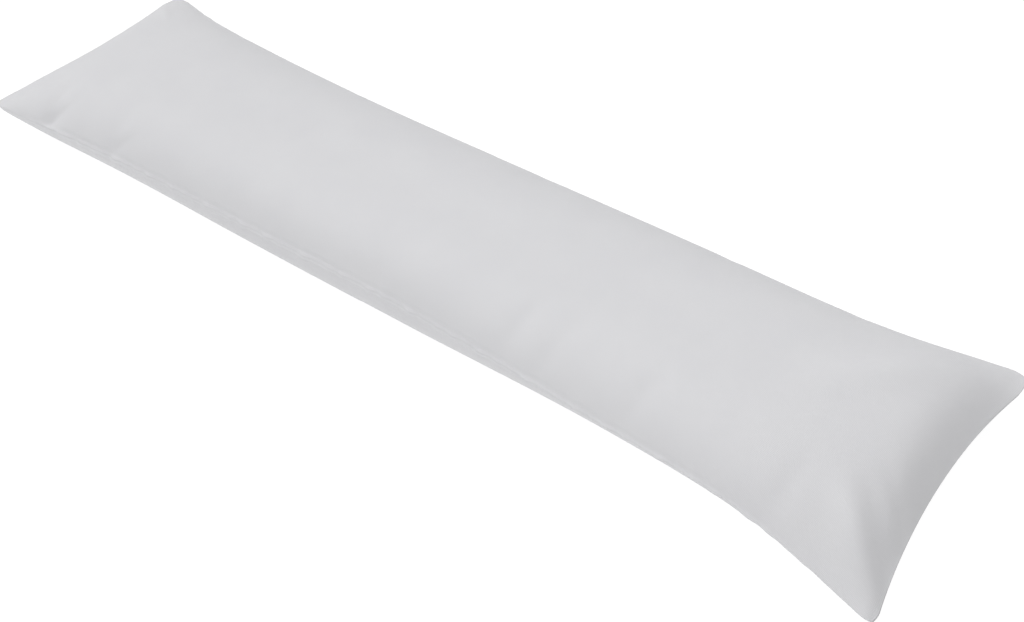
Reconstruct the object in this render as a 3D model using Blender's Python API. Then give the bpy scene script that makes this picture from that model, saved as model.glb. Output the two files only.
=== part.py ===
"""Body pillow: two long panels sewn together all round and filled, lying flat on one face.

The length runs along X and the width along Y.  Z is up, the floor is at zero and the origin is the
middle of the pillow's footprint.  Each panel is a grid of cloth points: u runs along the length and
v across it, both from -1 to 1, and the two panels meet in the sewn edge, where u or v is 1 or -1.
"""
import math

import bmesh
import bpy
import numpy as np

# Outline of the sewn edge, metres
LENGTH = 1.455              # between the square corners of a long side, before they are rounded
TIP_WIDTH = 0.348           # between the square corners of an end
WAIST_WIDTH = 0.290         # between the long sides, where the filling draws them in
FLARE_POWER = 1.3           # higher makes the sides turn out to the corners more suddenly
DRAW_IN_POWER = 6           # higher keeps the drawing in of an end closer to that end

# The two ends in plan: how far the middle is drawn in, over what distance the sides spread out to the
# corners, and the rounding of the front (-Y) and the back (+Y) corner.  Then how the upper panel rises
# from the end's seam: at its first slope it would be full after rise_length, which grows by rise_turn
# towards the back and shrinks by it towards the front, and changes by rise_bow towards both corners.
# A higher sharpness turns more suddenly from the slope to the top.  A rise_roundness of 1 leaves the
# seam in a straight slope, 0.5 leaves it upright.
LEFT_END = dict(
    draw_in=0.035, flare_length=0.252, front_radius=0.020, back_radius=0.040,
    rise_length=0.134, rise_turn=0.000, rise_bow=0.000, sharpness=2.12, rise_roundness=0.54,
)
RIGHT_END = dict(
    draw_in=0.022, flare_length=0.150, front_radius=0.020, back_radius=0.015,
    rise_length=0.039, rise_turn=0.012, rise_bow=-0.023, sharpness=2.72, rise_roundness=1.02,
)
SHORTEST_RISE = 0.005

# Filling, metres
CROWN_HEIGHT = 0.0618       # top of the crown above the sewn edge
BELLY_DEPTH = 1.08          # depth of the free belly as a share of the sewn edge's height; above 1
                            # the floor presses it flat

# How a panel falls to its seams where that is not a slope.  A higher power keeps it full for longer.  A
# roundness of 0.5 brings it to the edge upright, 1 in a straight slope.  right_gain is added to the
# power at the right end.
CROWN_FRONT = dict(power=3.98, roundness=0.77, right_gain=-2.08)
CROWN_BACK = dict(power=2.35, roundness=0.65, right_gain=-0.45)
BELLY_ENDS = dict(power=8.0, roundness=0.52)
BELLY_SIDES = dict(power=5.2, roundness=0.52)
GAIN_POWER = 8              # higher keeps the gain closer to the right end

# The corner points hold little filling and lie flatter: which corner, how much of the height is lost
# at the very point, and over what distance
EAR_ROWS = (
    dict(end=-1, side=-1, flatness=0.67, reach=0.031),
    dict(end=1, side=-1, flatness=0.79, reach=0.079),
    dict(end=1, side=1, flatness=0.41, reach=0.043),
)

# The long seams, from the left end (station -1) to the right end (station 1): height of the front
# seam (-Y) and of the back seam (+Y) above the floor, and how far the lower panel swells out past
# the front seam, or stays back behind it where that is negative.
SEAM_ROWS = (
    dict(station=-1.0, front=0.0614, back=0.0619, swell=0.000),
    dict(station=-0.7, front=0.0629, back=0.0573, swell=0.003),
    dict(station=-0.3, front=0.0557, back=0.0539, swell=0.010),
    dict(station=0.1, front=0.0626, back=0.0560, swell=0.012),
    dict(station=0.5, front=0.0564, back=0.0570, swell=-0.005),
    dict(station=0.8, front=0.0501, back=0.0515, swell=-0.004),
    dict(station=1.0, front=0.0073, back=0.0585, swell=0.000),
)

# Creases of the upper panel, which run from a corner point up into the crown
CREASE_ROWS = (
    dict(tip_x=0.734, tip_y=-0.182, top_x=0.617, top_y=-0.075, half_width=0.021, rise=0.0274),
    dict(tip_x=0.727, tip_y=-0.153, top_x=0.701, top_y=-0.056, half_width=0.050, rise=-0.0096),
    dict(tip_x=0.686, tip_y=0.140, top_x=0.517, top_y=-0.049, half_width=0.027, rise=0.0092),
    dict(tip_x=-0.714, tip_y=-0.149, top_x=-0.582, top_y=-0.072, half_width=0.015, rise=-0.0041),
    dict(tip_x=-0.703, tip_y=0.146, top_x=-0.596, top_y=0.074, half_width=0.014, rise=0.0020),
)

# Puckers of the upper panel along its long seams
PUCKER_ROWS = (
    dict(side=-1, along=-0.606, lean=0.10, half_width=0.013, reach=0.045, depth=0.0035),
    dict(side=-1, along=-0.470, lean=0.05, half_width=0.013, reach=0.040, depth=0.0025),
    dict(side=-1, along=-0.215, lean=-0.10, half_width=0.014, reach=0.035, depth=0.0015),
    dict(side=-1, along=0.031, lean=0.15, half_width=0.013, reach=0.045, depth=0.0025),
    dict(side=-1, along=0.234, lean=0.20, half_width=0.013, reach=0.055, depth=0.0035),
    dict(side=-1, along=0.285, lean=0.30, half_width=0.013, reach=0.050, depth=0.0030),
    dict(side=-1, along=0.408, lean=0.20, half_width=0.013, reach=0.050, depth=0.0030),
    dict(side=-1, along=0.591, lean=0.10, half_width=0.013, reach=0.045, depth=0.0030),
    dict(side=1, along=-0.520, lean=0.10, half_width=0.014, reach=0.040, depth=0.0009),
    dict(side=1, along=-0.260, lean=-0.10, half_width=0.014, reach=0.035, depth=0.0007),
    dict(side=1, along=0.090, lean=0.10, half_width=0.014, reach=0.035, depth=0.0007),
    dict(side=1, along=0.370, lean=-0.15, half_width=0.013, reach=0.045, depth=0.0013),
    dict(side=1, along=0.540, lean=-0.10, half_width=0.013, reach=0.040, depth=0.0011),
)

CREASE_SKEW = 0.7           # below 1 the highest place of a crease is nearer to its tip
CREASE_TAPER = 2            # higher fades a crease out more softly at both of its ends
RELIEF_START = 3.0          # creases and puckers near full depth at one part in this of the height

# Points of each panel
STEPS_ALONG = 100
STEPS_ACROSS = 28
END_CROWDING = 1.7          # above 1 the points stand closer together towards the ends
WELD_DISTANCE = 0.00001

# Cloth, linear colour
CLOTH_COLOUR = (0.665, 0.665, 0.680, 1.0)
CLOTH_ROUGHNESS = 0.85


def remove_objects():
    """Empty the scene of objects."""
    for thing in list(bpy.data.objects):
        bpy.data.objects.remove(thing)


def crowd_to_ends(even):
    """Move even stations from -1 to 1 closer to the two ends."""
    return np.sign(even) * (1.0 - (1.0 - np.abs(even)) ** END_CROWDING)


def crowd_to_sides(even):
    """Move even stations from -1 to 1 to where the points of a half circle stand."""
    return np.sin(even * math.pi / 2)


def read_rows(rows, column, at):
    """Value of a table's column at any station, on a smooth curve through its rows."""
    stations = np.array([row["station"] for row in rows])
    values = np.array([row[column] for row in rows])
    slopes = np.gradient(values, stations)
    row = np.clip(np.searchsorted(stations, at, side="right") - 1, 0, len(rows) - 2)
    gap = stations[row + 1] - stations[row]
    t = (at - stations[row]) / gap
    start = (1 + 2 * t) * (1 - t) ** 2 * values[row] + t * (1 - t) ** 2 * gap * slopes[row]
    finish = t * t * (3 - 2 * t) * values[row + 1] - t * t * (1 - t) * gap * slopes[row + 1]
    return start + finish


def end_value(u, column):
    """Value of a column of the end that each point is nearer to."""
    return np.where(u > 0, RIGHT_END[column], LEFT_END[column])


def round_corners(x, y):
    """Pull the points of each square corner in onto a quarter circle."""
    radius = np.where(y > 0, end_value(x, "back_radius"), end_value(x, "front_radius"))
    centre_x = LENGTH / 2 - radius
    centre_y = TIP_WIDTH / 2 - radius
    past_x = np.abs(x) - centre_x
    past_y = np.abs(y) - centre_y
    in_corner = (past_x > 0) & (past_y > 0)
    reach = np.maximum(np.hypot(past_x, past_y), WELD_DISTANCE)
    pull = np.maximum(past_x, past_y) / reach
    rounded_x = np.sign(x) * (centre_x + past_x * pull)
    rounded_y = np.sign(y) * (centre_y + past_y * pull)
    return np.where(in_corner, rounded_x, x), np.where(in_corner, rounded_y, y)


def plan_position(u, v):
    """Plan of the cloth points: drawn-in sides, hollow ends and rounded corner points."""
    from_end = LENGTH / 2 * (1.0 - np.abs(u))
    flare = np.exp(-(from_end / end_value(u, "flare_length")) ** FLARE_POWER)
    half_width = WAIST_WIDTH / 2 + (TIP_WIDTH - WAIST_WIDTH) / 2 * flare
    half_length = LENGTH / 2 - end_value(u, "draw_in") * (1.0 - v ** 2) * np.abs(u) ** DRAW_IN_POWER
    return round_corners(u * half_length, v * half_width)


def front_swell(u, v):
    """How far the lower panel swells out past the front seam, fading out to the middle line."""
    return read_rows(SEAM_ROWS, "swell", u) * np.clip(-v, 0.0, 1.0)


def seam_sheet(u, v):
    """Height of a sheet stretched between the two long seams."""
    front = read_rows(SEAM_ROWS, "front", u)
    back = read_rows(SEAM_ROWS, "back", u)
    return front + (back - front) * (1.0 + v) / 2


def fall(at, power, roundness):
    """Share of the full height from the middle (0) to the sewn edge on either side (-1 and 1)."""
    return np.clip(1.0 - np.abs(at) ** power, 0.0, None) ** roundness


def slope_to_top(slope, sharpness):
    """A straight slope from 0 that turns over into a level top at 1."""
    return slope / (1.0 + slope ** sharpness) ** (1.0 / sharpness)


def rise_from_end(u, v):
    """Share of the full height from the seam of the nearer end to the middle of the length."""
    length = end_value(u, "rise_length") + end_value(u, "rise_turn") * v + end_value(u, "rise_bow") * v ** 2
    slope_in_middle = LENGTH / 2 / np.maximum(length, SHORTEST_RISE)
    slope = slope_in_middle * (1.0 - np.abs(u))
    sharpness = end_value(u, "sharpness")
    share = slope_to_top(slope, sharpness) / slope_to_top(slope_in_middle, sharpness)
    return share ** end_value(u, "rise_roundness")


def fall_to_sides(u, v):
    """Share of the crown's height from the middle line to the front and the back seam."""
    gain = np.clip(u, 0.0, 1.0) ** GAIN_POWER
    power = np.where(v > 0, CROWN_BACK["power"], CROWN_FRONT["power"])
    right_gain = np.where(v > 0, CROWN_BACK["right_gain"], CROWN_FRONT["right_gain"])
    roundness = np.where(v > 0, CROWN_BACK["roundness"], CROWN_FRONT["roundness"])
    return fall(v, power + right_gain * gain, roundness)


def ear_share(x, y):
    """Share of the height that is left near the flatter corner points."""
    share = np.ones_like(x)
    for row in EAR_ROWS:
        from_corner = np.hypot(x - row["end"] * LENGTH / 2, y - row["side"] * TIP_WIDTH / 2)
        share *= 1.0 - row["flatness"] * np.exp(-(from_corner / row["reach"]) ** 2)
    return share


def crease_relief(x, y):
    """Rise of the creases that run from the corner points into the crown."""
    relief = np.zeros_like(x)
    for row in CREASE_ROWS:
        run_x = row["top_x"] - row["tip_x"]
        run_y = row["top_y"] - row["tip_y"]
        run = math.hypot(run_x, run_y)
        along = ((x - row["tip_x"]) * run_x + (y - row["tip_y"]) * run_y) / run ** 2
        aside = ((x - row["tip_x"]) * run_y - (y - row["tip_y"]) * run_x) / run
        taper = np.sin(np.clip(along, 0.0, 1.0) ** CREASE_SKEW * math.pi) ** CREASE_TAPER
        relief += row["rise"] * taper * np.exp(-(aside / row["half_width"]) ** 2)
    return relief


def pucker_relief(x, y):
    """Dents that the stitching pulls into the cloth beside the long seams."""
    relief = np.zeros_like(x)
    for row in PUCKER_ROWS:
        inward = WAIST_WIDTH / 2 - row["side"] * y
        aside = x - row["along"] - row["lean"] * inward
        fade = np.exp(-(inward / row["reach"]) ** 2)
        relief -= row["depth"] * fade * np.exp(-(aside / row["half_width"]) ** 2)
    return relief


def upper_panel(u, v):
    """Places of the upper panel's points, which rise from the sewn edge into the crown."""
    x, y = plan_position(u, v)
    y = y + front_swell(u, v) / 2
    full = rise_from_end(u, v) * fall_to_sides(u, v) * ear_share(x, y)
    relief = (crease_relief(x, y) + pucker_relief(x, y)) * np.tanh(RELIEF_START * full)
    return x, y, seam_sheet(u, v) + CROWN_HEIGHT * full + relief


def lower_panel(u, v):
    """Places of the lower panel's points, which sink from the sewn edge to the floor."""
    x, y = plan_position(u, v)
    full = fall(u, **BELLY_ENDS) * fall(v, **BELLY_SIDES)
    halfway = 4 * full * (1 - full)
    y = y + front_swell(u, v) * (0.5 - halfway)
    return x, y, np.maximum(seam_sheet(u, v) * (1 - BELLY_DEPTH * full), 0.0)


def add_panel(shell, panel_shape, faces_down):
    """Add a flat grid from -1 to 1 to the shell and move its points to their places in a panel."""
    made = bmesh.ops.create_grid(shell, x_segments=STEPS_ALONG, y_segments=STEPS_ACROSS, size=1.0)
    points = made["verts"]
    flat = np.array([point.co for point in points])
    places = panel_shape(crowd_to_ends(flat[:, 0]), crowd_to_sides(flat[:, 1]))
    for point, place in zip(points, np.column_stack(places)):
        point.co = place
    if faces_down:
        faces = {face for point in points for face in point.link_faces}
        bmesh.ops.reverse_faces(shell, faces=list(faces))


def cloth_material():
    """Plain light grey cloth."""
    material = bpy.data.materials.new("cloth")
    material.use_nodes = True
    shader = material.node_tree.nodes["Principled BSDF"]
    shader.inputs["Base Color"].default_value = CLOTH_COLOUR
    shader.inputs["Roughness"].default_value = CLOTH_ROUGHNESS
    shader.inputs["Metallic"].default_value = 0.0
    material.diffuse_color = CLOTH_COLOUR
    return material


def make_pillow():
    """Sew the two panels into one closed filled shell."""
    shell = bmesh.new()
    add_panel(shell, upper_panel, faces_down=False)
    add_panel(shell, lower_panel, faces_down=True)
    bmesh.ops.remove_doubles(shell, verts=shell.verts, dist=WELD_DISTANCE)
    mesh = bpy.data.meshes.new("pillow")
    shell.to_mesh(mesh)
    shell.free()
    mesh.shade_smooth()
    mesh.materials.append(cloth_material())
    pillow = bpy.data.objects.new("pillow", mesh)
    bpy.context.scene.collection.objects.link(pillow)


remove_objects()
make_pillow()
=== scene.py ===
import math
import bpy
import numpy as np
from mathutils import Matrix, Vector


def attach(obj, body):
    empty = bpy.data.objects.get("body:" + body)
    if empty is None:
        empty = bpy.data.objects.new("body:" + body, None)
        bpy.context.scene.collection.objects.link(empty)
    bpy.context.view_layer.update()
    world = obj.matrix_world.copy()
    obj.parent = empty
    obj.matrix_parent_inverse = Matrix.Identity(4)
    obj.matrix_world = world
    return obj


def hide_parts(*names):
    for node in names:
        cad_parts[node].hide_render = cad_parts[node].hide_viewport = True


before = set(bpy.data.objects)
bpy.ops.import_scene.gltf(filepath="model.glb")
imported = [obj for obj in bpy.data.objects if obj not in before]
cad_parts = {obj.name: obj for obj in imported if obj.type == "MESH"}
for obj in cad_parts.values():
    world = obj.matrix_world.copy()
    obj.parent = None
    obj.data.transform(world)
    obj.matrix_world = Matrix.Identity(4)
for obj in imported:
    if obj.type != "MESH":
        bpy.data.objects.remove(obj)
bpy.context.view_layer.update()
scene = bpy.context.scene

mm = 0.001
tiny = 0.01              # mm, keeps divisions away from zero


# helpers for colours and nodes

def linear(hexColour):
    channels = [int(hexColour[i:i + 2], 16) / 255 for i in (1, 3, 5)]
    return tuple(c / 12.92 if c <= 0.04045 else ((c + 0.055) / 1.055) ** 2.4 for c in channels) + (1.0,)


def addNode(tree, kind, settings=None, links=None):
    # settings: a property, or an input's name or number, and its value
    # links: an input's name or number and the output that feeds it
    node = tree.nodes.new(kind)
    for key, value in (settings or {}).items():
        if isinstance(key, str) and hasattr(node, key):
            setattr(node, key, value)
        else:
            node.inputs[key].default_value = value
    for key, socket in (links or {}).items():
        tree.links.new(socket, node.inputs[key])
    return node


# the camera looks down along the pillow from its right front corner

viewpoint = {
    "lens": 44.15,           # mm
    "frameWidth": 36.0,      # mm
    "azimuth": 42.42,        # degrees round from the front, towards +X
    "elevation": 44.85,
    "roll": -5.45,
    "target": (181.0, -59.7, 43.5),   # mm
    "distance": 1526.7,      # mm
}


def placeCamera(view):
    azimuth, elevation, roll = (math.radians(view[key]) for key in ("azimuth", "elevation", "roll"))
    outwards = math.cos(elevation)
    back = Vector((math.sin(azimuth) * outwards, -math.cos(azimuth) * outwards, math.sin(elevation)))
    level = Vector((0, 0, 1)).cross(back).normalized()
    upright = back.cross(level)
    right = level * math.cos(roll) + upright * math.sin(roll)
    up = upright * math.cos(roll) - level * math.sin(roll)
    camera = bpy.data.objects.new("camera", bpy.data.cameras.new("camera"))
    camera.data.lens = view["lens"]
    camera.data.sensor_width = view["frameWidth"]
    turn = Matrix((right, up, back)).transposed().to_4x4()
    turn.translation = Vector(view["target"]) * mm + back * view["distance"] * mm
    camera.matrix_world = turn
    scene.collection.objects.link(camera)
    scene.camera = camera


placeCamera(viewpoint)
print("camera placed")


# the cover: two cut panels sewn together all round, as the filling holds them
# u runs along the length and v across it, both -1 to 1; sizes are in mm

cover = {
    "length": 1455.0,        # between square corners, before they are rounded
    "tipWidth": 348.0,
    "waistWidth": 290.0,     # between the long seams where the filling draws them in
    "flarePower": 1.3,       # higher keeps the spread of the corners closer to the ends
    "drawInPower": 6.0,      # the same for the hollow of the ends
    # the ends: how far the middle is drawn in, over what length the sides spread to the corners, how round
    # those are; then the slope up from the seam: the panel would be full after riseLength, which is longer by
    # riseTurn at the back corner, shorter by it at the front one and changed by riseBow at both; a higher
    # sharpness turns more suddenly to the top; a riseRoundness of 1 leaves the seam in a straight slope, 0.5
    # upright
    "leftEnd": {
        "drawIn": 35, "flareLength": 252, "frontRadius": 28, "backRadius": 40,
        "riseLength": 134, "riseTurn": 0, "riseBow": 0, "sharpness": 2.12, "riseRoundness": 0.54,
    },
    "rightEnd": {
        "drawIn": 22, "flareLength": 150, "frontRadius": 17, "backRadius": 30,
        "riseLength": 39, "riseTurn": 12, "riseBow": -23, "sharpness": 2.72, "riseRoundness": 1.02,
    },
    # corner points that lie a little off the square of the others: how far towards +X and +Y they are moved,
    # and how far round them the cloth moves too
    "spreadTips": (
        {"end": 1, "side": 1, "along": 5.0, "across": 4.5, "reach": 60.0},
        {"end": 1, "side": -1, "along": -1.8, "across": 0.0, "reach": 110.0},
        {"end": -1, "side": 1, "along": -2.5, "across": 13.0, "reach": 88.0},
        {"end": -1, "side": -1, "along": -6.0, "across": -1.0, "reach": 50.0},
    ),
    "crownHeight": 61.8,     # above the seam
    # how a panel falls to the long seams: a higher power is fuller, a roundness of 0.5 ends upright and 1 in
    # a straight slope; rightGain is added to the power at the right end
    "crownFront": {"power": 3.98, "roundness": 0.77, "rightGain": -2.08},
    "crownBack": {"power": 2.35, "roundness": 0.65, "rightGain": -0.45},
    "gainPower": 8,          # higher keeps the gain closer to the end
    "bellyEnds": {"power": 8.0, "roundness": 0.52},
    "bellySides": {"power": 5.2, "roundness": 0.52},
    "bellyDepth": 1.08,      # share of the seam height; above 1 the floor presses the belly flat
    # the long seams: place along the length, heights above the floor, and how far the lower panel swells past
    # the front seam
    "seamRows": (
        {"station": -1.0, "front": 61.4, "back": 61.9, "swell": 0.0},
        {"station": -0.7, "front": 60.2, "back": 57.3, "swell": 2.8},
        {"station": -0.3, "front": 52.9, "back": 53.9, "swell": 10.5},
        {"station": 0.1, "front": 59.6, "back": 56.0, "swell": 9.2},
        {"station": 0.5, "front": 58.0, "back": 57.0, "swell": -7.1},
        {"station": 0.8, "front": 46.3, "back": 51.5, "swell": -5.3},
        {"station": 1.0, "front": 7.3, "back": 58.5, "swell": 0.0},
    ),
    "cutLength": 1475.0,     # each panel as it was cut, flat
    "cutWidth": 350.0,
}


def smoothRows(rows, column, at):
    # a smooth curve through one column of a table, read at the places given
    stations = np.array([row["station"] for row in rows])
    values = np.array([row[column] for row in rows])
    slopes = np.gradient(values, stations)
    row = np.clip(np.searchsorted(stations, at, side="right") - 1, 0, len(rows) - 2)
    gap = stations[row + 1] - stations[row]
    t = (at - stations[row]) / gap
    start = (1 + 2 * t) * (1 - t) ** 2 * values[row] + t * (1 - t) ** 2 * gap * slopes[row]
    finish = t * t * (3 - 2 * t) * values[row + 1] - t * t * (1 - t) * gap * slopes[row + 1]
    return start + finish


def endValue(u, key):
    # what the end on this side of the middle has
    return np.where(u > 0, cover["rightEnd"][key], cover["leftEnd"][key])


def planOutline(u, v):
    # drawn-in sides, hollow ends and rounded corner points
    halfLength, halfTip = cover["length"] / 2, cover["tipWidth"] / 2
    halfWaist = cover["waistWidth"] / 2
    flare = np.exp(-(halfLength * (1 - np.abs(u)) / endValue(u, "flareLength")) ** cover["flarePower"])
    x = u * (halfLength - endValue(u, "drawIn") * (1 - v ** 2) * np.abs(u) ** cover["drawInPower"])
    y = v * (halfWaist + (halfTip - halfWaist) * flare)
    spreadX, spreadY = np.zeros_like(x), np.zeros_like(y)
    for tip in cover["spreadTips"]:
        fromTip = np.hypot(x - tip["end"] * halfLength, y - tip["side"] * halfTip)
        near = np.exp(-(fromTip / tip["reach"]) ** 2)
        spreadX += tip["along"] * near
        spreadY += tip["across"] * near
    radius = np.where(y > 0, endValue(x, "backRadius"), endValue(x, "frontRadius"))
    centreX, centreY = halfLength - radius, halfTip - radius
    pastX, pastY = np.abs(x) - centreX, np.abs(y) - centreY
    pull = np.maximum(pastX, pastY) / np.maximum(np.hypot(pastX, pastY), tiny)
    inCorner = (pastX > 0) & (pastY > 0)
    x = np.where(inCorner, np.sign(x) * (centreX + pastX * pull), x)
    y = np.where(inCorner, np.sign(y) * (centreY + pastY * pull), y)
    return x + spreadX, y + spreadY


def fall(at, power, roundness):
    # 1 in the middle, falling to 0 at -1 and at 1
    return np.clip(1 - np.abs(at) ** power, 0, None) ** roundness


def slopeToTop(slope, sharpness):
    # a straight slope from 0 that turns over into a level top at 1
    return slope / (1 + slope ** sharpness) ** (1 / sharpness)


def riseFromEnd(u, v):
    # share of the full height that the cloth has reached on its way in from the end seam
    length = endValue(u, "riseLength") + endValue(u, "riseTurn") * v + endValue(u, "riseBow") * v ** 2
    middle = cover["length"] / 2 / length
    sharpness = endValue(u, "sharpness")
    share = slopeToTop(middle * (1 - np.abs(u)), sharpness) / slopeToTop(middle, sharpness)
    return share ** endValue(u, "riseRoundness")


def fallToSides(u, v):
    # share of the full height that is left on the way out to the long seams
    front, back = cover["crownFront"], cover["crownBack"]
    power = np.where(v > 0, back["power"], front["power"])
    gain = np.where(v > 0, back["rightGain"], front["rightGain"])
    power = power + gain * np.clip(u, 0, 1) ** cover["gainPower"]
    return fall(v, power, np.where(v > 0, back["roundness"], front["roundness"]))


# the corner points hold little filling and lie flatter: flatness is the share of the height lost at the very
# point, reach how far from it the loss goes, mm
ears = (
    {"end": -1, "side": -1, "flatness": 0.67, "reach": 31},
    {"end": 1, "side": -1, "flatness": 0.79, "reach": 79},
    {"end": 1, "side": 1, "flatness": 0.41, "reach": 43},
)


def earShare(x, y):
    share = np.ones_like(x)
    for ear in ears:
        pointX, pointY = ear["end"] * cover["length"] / 2, ear["side"] * cover["tipWidth"] / 2
        fromCorner = np.hypot(x - pointX, y - pointY)
        share *= 1 - ear["flatness"] * np.exp(-(fromCorner / ear["reach"]) ** 2)
    return share


# creases from the corner points up into the crown: where they start and end, how wide they are on either side
# of their line, and their rise, mm; one that is steep on one side and gentle on the other looks like a fold
creases = (
    {"tip": (734, -182), "top": (617, -75), "halfWidths": (21.3, 21.3), "rise": 27.4},
    {"tip": (727, -153), "top": (701, -56), "halfWidths": (50.4, 50.4), "rise": -9.6},
    {"tip": (693, -97), "top": (631, -62), "halfWidths": (11.6, 11.6), "rise": -2.4},
    {"tip": (734, -88), "top": (639, -41), "halfWidths": (10.9, 10.9), "rise": -4.6},
    {"tip": (686, 140), "top": (517, -49), "halfWidths": (27.4, 27.4), "rise": 9.2},
    {"tip": (-714, -149), "top": (-582, -72), "halfWidths": (14.7, 14.7), "rise": -4.1},
    {"tip": (-703, 146), "top": (-596, 74), "halfWidths": (7.1, 7.1), "rise": 2.0},
    {"tip": (-645, -196), "top": (-560, -122), "halfWidths": (8.0, 26.0), "rise": -16.0},
    {"tip": (-496, -170), "top": (-422, -120), "halfWidths": (6.0, 20.0), "rise": -7.0},
)

# dents that the stitching pulls in beside the long seams: side -1 is the front; lean is how far the dent runs
# sideways for each mm inward; reach is its length
puckers = (
    {"side": -1, "along": -606, "lean": 0.10, "halfWidth": 13, "reach": 45, "depth": 3.5},
    {"side": -1, "along": -470, "lean": 0.05, "halfWidth": 13, "reach": 40, "depth": 2.5},
    {"side": -1, "along": -215, "lean": -0.10, "halfWidth": 14, "reach": 35, "depth": 1.5},
    {"side": -1, "along": 31, "lean": 0.15, "halfWidth": 13, "reach": 45, "depth": 2.5},
    {"side": -1, "along": 234, "lean": 0.20, "halfWidth": 13, "reach": 55, "depth": 3.5},
    {"side": -1, "along": 285, "lean": 0.30, "halfWidth": 13, "reach": 50, "depth": 3.0},
    {"side": -1, "along": 408, "lean": 0.20, "halfWidth": 13, "reach": 50, "depth": 3.0},
    {"side": -1, "along": 591, "lean": 0.10, "halfWidth": 13, "reach": 45, "depth": 3.0},
    {"side": 1, "along": -520, "lean": 0.10, "halfWidth": 14, "reach": 40, "depth": 0.9},
    {"side": 1, "along": -260, "lean": -0.10, "halfWidth": 14, "reach": 35, "depth": 0.7},
    {"side": 1, "along": 90, "lean": 0.10, "halfWidth": 14, "reach": 35, "depth": 0.7},
    {"side": 1, "along": 370, "lean": -0.15, "halfWidth": 13, "reach": 45, "depth": 1.3},
    {"side": 1, "along": 540, "lean": -0.10, "halfWidth": 13, "reach": 40, "depth": 1.1},
)


reliefShape = {
    "skew": 0.7,             # below 1 a crease is strongest nearer its tip
    "start": 3.0,            # how soon creases and puckers begin beside the seam
}


def relief(x, y, full):
    # rise of the creases and puckers, mm; they fade out on the seam itself, where full is 0
    rise = np.zeros_like(x)
    for crease in creases:
        runX, runY = crease["top"][0] - crease["tip"][0], crease["top"][1] - crease["tip"][1]
        run = math.hypot(runX, runY)
        fromTipX, fromTipY = x - crease["tip"][0], y - crease["tip"][1]
        share = np.clip((fromTipX * runX + fromTipY * runY) / run ** 2, 0, 1)
        taper = np.sin(share ** reliefShape["skew"] * math.pi) ** 2
        aside = (fromTipX * runY - fromTipY * runX) / run
        halfWidth = np.where(aside > 0, crease["halfWidths"][1], crease["halfWidths"][0])
        rise += crease["rise"] * taper * np.exp(-(aside / halfWidth) ** 2)
    for pucker in puckers:
        inward = cover["waistWidth"] / 2 - pucker["side"] * y
        aside = x - pucker["along"] - pucker["lean"] * inward
        fade = np.exp(-(inward / pucker["reach"]) ** 2)
        rise -= pucker["depth"] * fade * np.exp(-(aside / pucker["halfWidth"]) ** 2)
    return rise * np.tanh(reliefShape["start"] * full)


def coverForm(u, v, upper):
    # places of points of one panel, in mm; full goes from 0 at the seam to 1 where the panel is filled out
    x, y = planOutline(u, v)
    front, back = smoothRows(cover["seamRows"], "front", u), smoothRows(cover["seamRows"], "back", u)
    seam = front + (back - front) * (1 + v) / 2
    swell = smoothRows(cover["seamRows"], "swell", u) * np.clip(-v, 0, 1)
    if upper:
        y = y + swell / 2
        full = riseFromEnd(u, v) * fallToSides(u, v) * earShare(x, y)
        return np.stack((x, y, seam + cover["crownHeight"] * full + relief(x, y, full)), -1)
    full = fall(u, **cover["bellyEnds"]) * fall(v, **cover["bellySides"])
    bulge = 4 * full * (1 - full)    # 1 halfway down, where the lower panel stands furthest past the seam
    y = y + swell * (0.5 - bulge)
    return np.stack((x, y, np.maximum(seam * (1 - cover["bellyDepth"] * full), 0)), -1)


def runLength(points, axis):
    # length of cloth from the first point to each other one along a grid's rows or columns
    steps = np.linalg.norm(np.diff(points, axis=axis), axis=-1)
    shape = list(steps.shape)
    shape[axis] = 1
    return np.concatenate((np.zeros(shape), np.cumsum(steps, axis=axis)), axis=axis)


def panelPoints(along, across, upper):
    # puts cloth points, given as shares 0 to 1 of the panel's length and width, where the form carries them;
    # the lengths of cloth are measured on a fine grid of the form
    fineRows, fineColumns = 401, 161
    lastPlace = fineRows - 1.0001    # just short of the last row, so that a next row is always there
    fineU, fineV = np.linspace(-1, 1, fineRows), np.linspace(-1, 1, fineColumns)
    form = coverForm(*np.meshgrid(fineU, fineV, indexing="ij"), upper)
    lengths, widths = runLength(form, 0), runLength(form, 1)
    middle = lengths[:, fineColumns // 2] / lengths[-1, fineColumns // 2]
    seam = lengths[:, 0] / lengths[-1, 0]
    uMiddle, uSeam = np.interp(along, middle, fineU), np.interp(along, seam, fineU)
    shares = widths / widths[:, -1:]
    vAt = np.array([np.interp(across, row, fineV) for row in shares])   # for each fine u
    nearSeam = (2 * across - 1) ** 2
    u = uMiddle[:, None] * (1 - nearSeam) + uSeam[:, None] * nearSeam
    place = np.clip((u + 1) / 2 * (fineRows - 1), 0, lastPlace)
    low, part = place.astype(int), place - place.astype(int)
    column = np.broadcast_to(np.arange(len(across)), u.shape)
    v = vAt[low, column] * (1 - part) + vAt[low + 1, column] * part
    return coverForm(u, v, upper)


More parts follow.
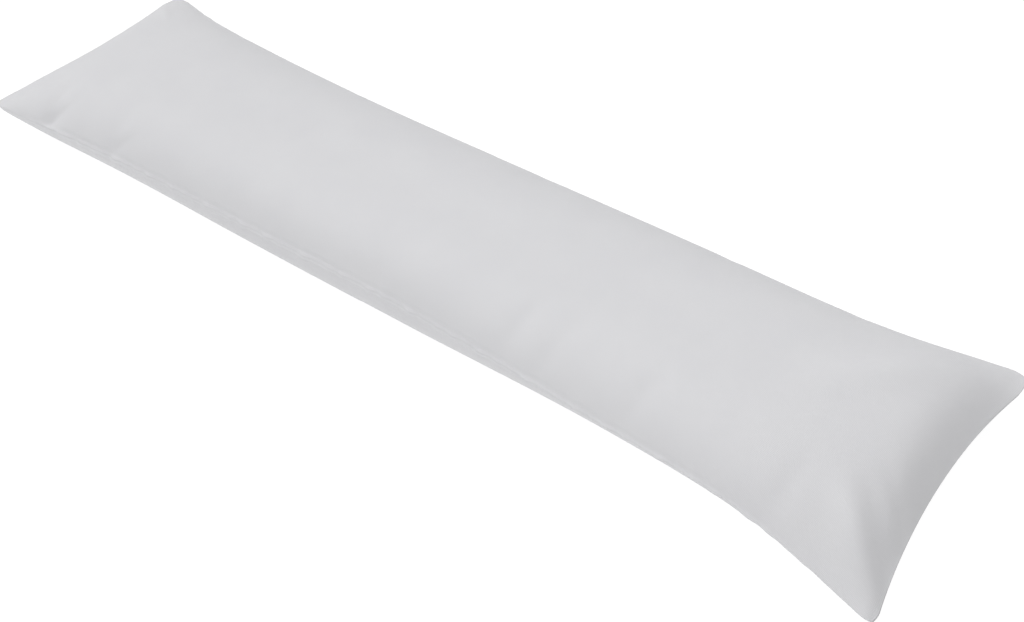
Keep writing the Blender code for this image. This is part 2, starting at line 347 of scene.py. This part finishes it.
def makeCoverMesh(name, along, across, panels):
    # panels: the points of the upper and of the lower one, in mm; they share their rim
    rows, columns = len(along), len(across)
    rim = np.zeros((rows, columns), bool)
    rim[[0, -1]] = True
    rim[:, [0, -1]] = True
    upperIds = np.arange(rows * columns).reshape(rows, columns)
    lowerIds = upperIds.copy()
    lowerIds[~rim] = rows * columns + np.arange((~rim).sum())
    points = np.concatenate((panels[0].reshape(-1, 3), panels[1][~rim])) * mm
    faces = []
    for ids, flip in ((upperIds, False), (lowerIds, True)):
        quads = np.stack((ids[:-1, :-1], ids[1:, :-1], ids[1:, 1:], ids[:-1, 1:]), -1).reshape(-1, 4)
        faces.append(quads[:, ::-1] if flip else quads)
    mesh = bpy.data.meshes.new(name)
    mesh.from_pydata(points.tolist(), [], np.concatenate(faces).tolist())
    mesh.update()
    piece = bpy.data.objects.new(name, mesh)
    scene.collection.objects.link(piece)
    return piece, upperIds, lowerIds, rim


# cloth simulation: the cut panels are longer and wider than the form in places, so the cover wrinkles

simulation = {
    "grid": 10.0,            # mm between cloth points
    "frames": 24,
    "volume": 0.040,         # cubic metres, held by the filling
    "hold": 60.0,            # how hard it holds it
    "restBelow": 0.4,        # mm above the floor; lower points stay where they are
    "steps": 8,              # in each frame
    "mass": 0.1,             # kg for each cloth point
    # stiffness against stretch, shear and bending, and how fast each kind of swinging dies down
    "stretch": 200.0,
    "stretchDamping": 10.0,
    "shear": 20.0,
    "shearDamping": 2.0,
    "bend": 0.02,
    "bendDamping": 0.2,
    "airDamping": 2.0,
    "keepBelow": 40.0,       # mm; wider swellings than this are left to the form
    "share": 0.8,            # of the wrinkles kept
    "cap": 12.0,             # mm, most that a point may move
}


def broadPart(field, width):
    # blurs a grid of moves, so that only swellings wider than width are left
    reach = int(3 * width)   # past three widths a weight is next to nothing
    weights = np.exp(-0.5 * (np.arange(-reach, reach + 1) / width) ** 2)
    for axis in (0, 1):
        total, share = np.zeros_like(field), np.zeros(field.shape[:2])
        count = field.shape[axis]
        for offset, weight in zip(range(-reach, reach + 1), weights):
            if abs(offset) >= count:
                continue
            to, source = [slice(None)] * 2, [slice(None)] * 2
            to[axis] = slice(max(-offset, 0), count - max(offset, 0))
            source[axis] = slice(max(offset, 0), count - max(-offset, 0))
            total[tuple(to)] += weight * field[tuple(source)]
            share[tuple(to)] += weight
        field = total / share[..., None]
    return field


def simulateWrinkles():
    s = simulation
    rows = round(cover["cutLength"] / s["grid"])
    columns = round(cover["cutWidth"] / s["grid"])
    along, across = np.linspace(0, 1, rows + 1), np.linspace(0, 1, columns + 1)
    upper, lower = (panelPoints(along, across, side) for side in (True, False))
    piece, upperIds, lowerIds, rim = makeCoverMesh("coverSim", along, across, (upper, lower))
    piece.shape_key_add(name="filled")
    flatKey = piece.shape_key_add(name="cut")
    cutX, cutY = (along - 0.5) * cover["cutLength"], (across - 0.5) * cover["cutWidth"]
    cutX, cutY = np.meshgrid(cutX, cutY, indexing="ij")
    flat = np.stack((cutX, cutY, np.zeros_like(cutX)), -1) * mm
    flatKey.data.foreach_set("co", np.concatenate((flat.reshape(-1, 3), flat[~rim])).ravel())
    before = np.array([p.co for p in piece.data.vertices])
    resting = piece.vertex_groups.new(name="resting")
    onFloor = np.nonzero(before[:, 2] < s["restBelow"] * mm)[0]
    resting.add([int(i) for i in onFloor], 1.0, "REPLACE")
    cloth = piece.modifiers.new("cloth", "CLOTH")
    c = cloth.settings
    c.quality = s["steps"]
    c.mass = s["mass"]
    c.tension_stiffness = c.compression_stiffness = s["stretch"]
    c.shear_stiffness = s["shear"]
    c.bending_stiffness = s["bend"]
    c.tension_damping = c.compression_damping = s["stretchDamping"]
    c.shear_damping = s["shearDamping"]
    c.bending_damping = s["bendDamping"]
    c.air_damping = s["airDamping"]
    c.use_pressure = True
    c.uniform_pressure_force = 0
    c.use_pressure_volume = True
    c.target_volume = s["volume"]
    c.pressure_factor = s["hold"]
    c.rest_shape_key = flatKey
    c.vertex_group_mass = "resting"
    c.effector_weights.gravity = 0
    cloth.collision_settings.use_collision = False
    scene.frame_start, scene.frame_end = 1, s["frames"]
    cloth.point_cache.frame_start, cloth.point_cache.frame_end = 1, s["frames"]
    for number in range(1, s["frames"] + 1):
        scene.frame_set(number)
    shaped = piece.evaluated_get(bpy.context.evaluated_depsgraph_get()).data
    after = np.array([p.co for p in shaped.vertices])
    scene.frame_set(1)
    bpy.data.objects.remove(piece)
    moves = (after - before) / mm
    fields = []
    for ids in (upperIds, lowerIds):
        field = moves[ids]
        fields.append(field - broadPart(field, s["keepBelow"] / s["grid"]))
    fields[0][rim] = fields[1][rim] = (fields[0][rim] + fields[1][rim]) / 2
    kept = []
    for field in fields:
        field = field * s["share"]
        size = np.linalg.norm(field, axis=-1, keepdims=True)
        kept.append(field * np.minimum(1, s["cap"] / np.maximum(size, tiny)))
    sizes = np.linalg.norm(kept[0], axis=-1)
    print("cloth simulated, wrinkles of the upper panel in mm: mean", round(float(sizes.mean()), 2),
          "largest", round(float(sizes.max()), 2))
    return along, across, kept


def splineWeights(coarse, fine):
    # weights of the coarse stations for a smooth curve, a cubic B-spline, read at the fine ones
    count = len(coarse)
    place = np.interp(fine, coarse, np.arange(count))
    base = np.minimum(place.astype(int), count - 2)
    t = place - base
    before, here = (1 - t) ** 3, 3 * t ** 3 - 6 * t ** 2 + 4
    after, beyond = -3 * t ** 3 + 3 * t ** 2 + 3 * t + 1, t ** 3
    blend = np.stack((before, here, after, beyond), -1) / 6
    weights = np.zeros((len(fine), count + 2))
    for step, share in enumerate(blend.T):
        weights[np.arange(len(fine)), base + step] += share
    # the curve runs on in a straight line past its first and last stations
    inner = weights[:, 1:-1].copy()
    inner[:, 0] += 2 * weights[:, 0]
    inner[:, 1] -= weights[:, 0]
    inner[:, -1] += 2 * weights[:, -1]
    inner[:, -2] -= weights[:, -1]
    return inner


# the finished cover: the form, the wrinkles and a plain turned seam

finish = {
    "rowGap": 4.0,           # mm between points along the length
    "columnGap": 5.0,
    "seamRows": (0.8, 1.7, 2.8, 4.2, 6.0, 8.5, 12.0),   # mm from the seam, where the points stand closer
    "edgeRise": 1.7,         # mm that the turned edge stands proud of the long seams
    "edgeWidth": 2.0,
    "edgeUneven": 0.9,       # share by which the gathers raise and lower it
    "edgeFade": 130.0,       # mm from the ends over which it pulls flat
    "stitchDip": 0.4,        # mm that the stitching draws the cloth in beside the edge
    "stitchLine": 5.0,       # mm from the edge
    "stitchWidth": 2.4,
    "gather": 0.25,          # mm, small uneven gathers of the cloth along the edge
    "gatherGaps": (61.0, 37.0, 23.3),   # mm from one gather to the next, three that never fall together
}


def stationsWithSeam(length, gap):
    close = np.array(finish["seamRows"])
    count = round((length - 2 * close[-1]) / gap)
    middle = np.linspace(close[-1], length - close[-1], count + 1)
    return np.concatenate(([0.0], close[:-1], middle, length - close[:-1][::-1], [length])) / length


def makeCover():
    along = stationsWithSeam(cover["cutLength"], finish["rowGap"])
    across = stationsWithSeam(cover["cutWidth"], finish["columnGap"])
    panels = [panelPoints(along, across, side) for side in (True, False)]
    coarseAlong, coarseAcross, wrinkles = simulateWrinkles()
    alongWeights = splineWeights(coarseAlong, along)
    acrossWeights = splineWeights(coarseAcross, across)
    for panel, field in zip(panels, wrinkles):
        panel += np.einsum("ai,ijk,bj->abk", alongWeights, field, acrossWeights)
    # the seam: its turned edge stands a little proud, the stitching beside it draws the cloth in
    f = finish
    fromEnd = np.minimum(along, 1 - along)[:, None] * cover["cutLength"]
    fromSide = np.minimum(across, 1 - across)[None] * cover["cutWidth"]
    fromEdge = np.minimum(fromEnd, fromSide)
    # gathers goes unevenly between -1 and 1 along the seam; each wave starts at a place of its own
    seamPlace = along[:, None] * cover["cutLength"] + across[None] * cover["cutWidth"]
    gathers = sum(np.sin(2 * math.pi * seamPlace / gap + gap) for gap in f["gatherGaps"])
    gathers = gathers / len(f["gatherGaps"])
    push = f["edgeRise"] * (1 + f["edgeUneven"] * gathers) * np.exp(-(fromEdge / f["edgeWidth"]) ** 2)
    fromStitches = (fromEdge - f["stitchLine"]) / f["stitchWidth"]
    push -= f["stitchDip"] * (1 - gathers) * np.exp(-fromStitches ** 2)
    push += f["gather"] * gathers * np.exp(-(fromEdge / (2 * f["stitchLine"])) ** 2)
    push *= 1 - np.exp(-(fromEnd / f["edgeFade"]) ** 2)
    outwardX = np.sign(along[:, None] - 0.5) * (fromEnd <= fromEdge)
    outwardY = np.sign(across[None] - 0.5) * (fromSide <= fromEdge)
    for panel in panels:
        panel[..., 0] += push * outwardX
        panel[..., 1] += push * outwardY
        panel[..., 2] = np.maximum(panel[..., 2], 0)
    piece, upperIds, lowerIds, rim = makeCoverMesh("pillowCover", along, across, panels)
    mesh = piece.data
    mesh.shade_smooth()
    # cloth coordinates in metres, so that the weave follows the cut panels
    cutAlong, cutAcross = along * cover["cutLength"] * mm, across * cover["cutWidth"] * mm
    cutPlaces = np.stack(np.meshgrid(cutAlong, cutAcross, indexing="ij"), -1)
    places = np.zeros((len(mesh.vertices), 2))
    places[upperIds] = cutPlaces
    places[lowerIds[~rim]] = cutPlaces[~rim]
    layer = mesh.uv_layers.new(name="cutCloth")
    corners = np.zeros(len(mesh.loops), int)
    mesh.loops.foreach_get("vertex_index", corners)
    layer.data.foreach_set("uv", places[corners].ravel())
    return piece


cotton = {
    "cloth": "#e4e4e6",
    "shade": "#dedee1",      # the cloudy unevenness of the light grey dye
    "gapShade": 0.90,  # painted shade: how much light is left in the gaps of the weave
    "threadGap": 0.8,        # mm; the real 0.35 mm is too fine to show, so it is drawn coarser
    "bandScale": 0.159,      # a wave texture of this scale repeats once in each unit
    "slub": 1.6,             # how unevenly the threads are spun, which keeps them from lining up like print
    "cloudSize": 70.0,       # mm
    "fibreSize": 2.4,        # mm
    "weaveDepth": 0.25,      # mm
    "weaveStrength": 0.40,
    "roughness": 0.9,
    "specular": 0.3,
    "sheen": 0.15,
    "sheenRoughness": 0.5,
}


def brushedCotton():
    # plain-woven cotton with a brushed face: matt, its weave half hidden, with a faint bloom of raised fibre
    # at glancing angles
    c = cotton
    material = bpy.data.materials.new("brushedCotton")
    material.use_nodes = True
    tree = material.node_tree
    tree.nodes.clear()
    cut = addNode(tree, "ShaderNodeUVMap", {"uv_map": "cutCloth"})
    onCloth = {"Vector": cut.outputs["UV"]}    # metres along and across the cut panel
    threads = addNode(tree, "ShaderNodeMapping", {"Scale": (1000 / c["threadGap"],) * 3}, onCloth)
    onThreads = {"Vector": threads.outputs["Vector"]}
    spun = {
        "wave_type": "BANDS", "Scale": c["bandScale"], "Distortion": c["slub"],
        "Detail": 2.0, "Detail Scale": 0.6,
    }
    warp = addNode(tree, "ShaderNodeTexWave", {**spun, "bands_direction": "X"}, onThreads)
    weft = addNode(tree, "ShaderNodeTexWave", {**spun, "bands_direction": "Y"}, onThreads)
    weave = addNode(tree, "ShaderNodeMath", {"operation": "MULTIPLY"},
                    {0: warp.outputs["Fac"], 1: weft.outputs["Fac"]})
    cloud = addNode(tree, "ShaderNodeTexNoise", {
        "Scale": 1000 / c["cloudSize"], "Detail": 4.0, "Roughness": 0.55,
    }, onCloth)
    fibre = addNode(tree, "ShaderNodeTexNoise", {
        "Scale": 1000 / c["fibreSize"], "Detail": 3.0, "Roughness": 0.6,
    }, onCloth)
    tone = addNode(tree, "ShaderNodeMix", {
        "data_type": "RGBA", 6: linear(c["cloth"]), 7: linear(c["shade"]),
    }, {0: cloud.outputs["Fac"]})
    # painted shade: the cloth colour is darkened in the gaps between the threads
    gaps = addNode(tree, "ShaderNodeMapRange", {"To Min": c["gapShade"], "To Max": 1.0},
                   {"Value": weave.outputs[0]})
    woven = addNode(tree, "ShaderNodeVectorMath", {"operation": "SCALE"},
                    {0: tone.outputs[2], "Scale": gaps.outputs["Result"]})
    height = addNode(tree, "ShaderNodeMath", {"operation": "ADD"},
                     {0: weave.outputs[0], 1: fibre.outputs["Fac"]})
    bump = addNode(tree, "ShaderNodeBump", {
        "Strength": c["weaveStrength"], "Distance": c["weaveDepth"] * mm,
    }, {"Height": height.outputs[0]})
    shader = addNode(tree, "ShaderNodeBsdfPrincipled", {
        "Roughness": c["roughness"], "Specular IOR Level": c["specular"],
        "Sheen Weight": c["sheen"], "Sheen Roughness": c["sheenRoughness"],
    }, {"Base Color": woven.outputs["Vector"], "Normal": bump.outputs["Normal"]})
    addNode(tree, "ShaderNodeOutputMaterial", {}, {"Surface": shader.outputs["BSDF"]})
    return material


pillow = makeCover()
pillow.data.materials.append(brushedCotton())
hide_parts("pillow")
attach(pillow, "root")
print("cover made:", len(pillow.data.polygons), "faces")


# the studio: a plain white floor, a faint light from all round, and two very soft lights above

studio = {
    "floorSize": 180.0,      # m
    "floorColour": "#7c7c7c",
    "floorGlow": 0.88,       # brings the lit floor up to white, so that no shadow shows on it
    "room": 0.20,            # light from all round
    # tilt: degrees from straight above; turn: degrees round from the left end (0) over the back (90);
    # soft: degrees across, so that shadows have no edge
    "lights": (
        {"name": "frontLight", "strength": 1.47, "tilt": 30, "turn": 270, "soft": 40},
        {"name": "sideLight", "strength": 1.39, "tilt": 30, "turn": 45, "soft": 40},
    ),
}


def makeStudio():
    half = studio["floorSize"] / 2
    white = linear("#ffffff")
    mesh = bpy.data.meshes.new("floor")
    corners = [(-half, -half, 0), (half, -half, 0), (half, half, 0), (-half, half, 0)]
    mesh.from_pydata(corners, [], [(0, 1, 2, 3)])
    floor = bpy.data.objects.new("floor", mesh)
    scene.collection.objects.link(floor)
    # matt paper lit from behind: evenly white and without gloss
    material = bpy.data.materials.new("paperFloor")
    material.use_nodes = True
    shader = material.node_tree.nodes["Principled BSDF"]
    shader.inputs["Base Color"].default_value = linear(studio["floorColour"])
    shader.inputs["Roughness"].default_value = 1.0
    shader.inputs["Specular IOR Level"].default_value = 0.0
    shader.inputs["Emission Color"].default_value = white
    shader.inputs["Emission Strength"].default_value = studio["floorGlow"]
    mesh.materials.append(material)
    world = bpy.data.worlds.new("paleRoom")
    world.use_nodes = True
    background = world.node_tree.nodes["Background"]
    background.inputs["Color"].default_value = white
    background.inputs["Strength"].default_value = studio["room"]
    scene.world = world
    for light in studio["lights"]:
        lamp = bpy.data.lights.new(light["name"], "SUN")
        lamp.energy = light["strength"]
        lamp.angle = math.radians(light["soft"])
        sun = bpy.data.objects.new(light["name"], lamp)
        tilt, turn = math.radians(light["tilt"]), math.radians(light["turn"])
        aside = math.sin(tilt)
        towards = Vector((-aside * math.cos(turn), aside * math.sin(turn), math.cos(tilt)))
        sun.rotation_euler = towards.to_track_quat("Z", "Y").to_euler()
        scene.collection.objects.link(sun)
    scene.view_settings.view_transform = "Standard"


makeStudio()
print("studio made")
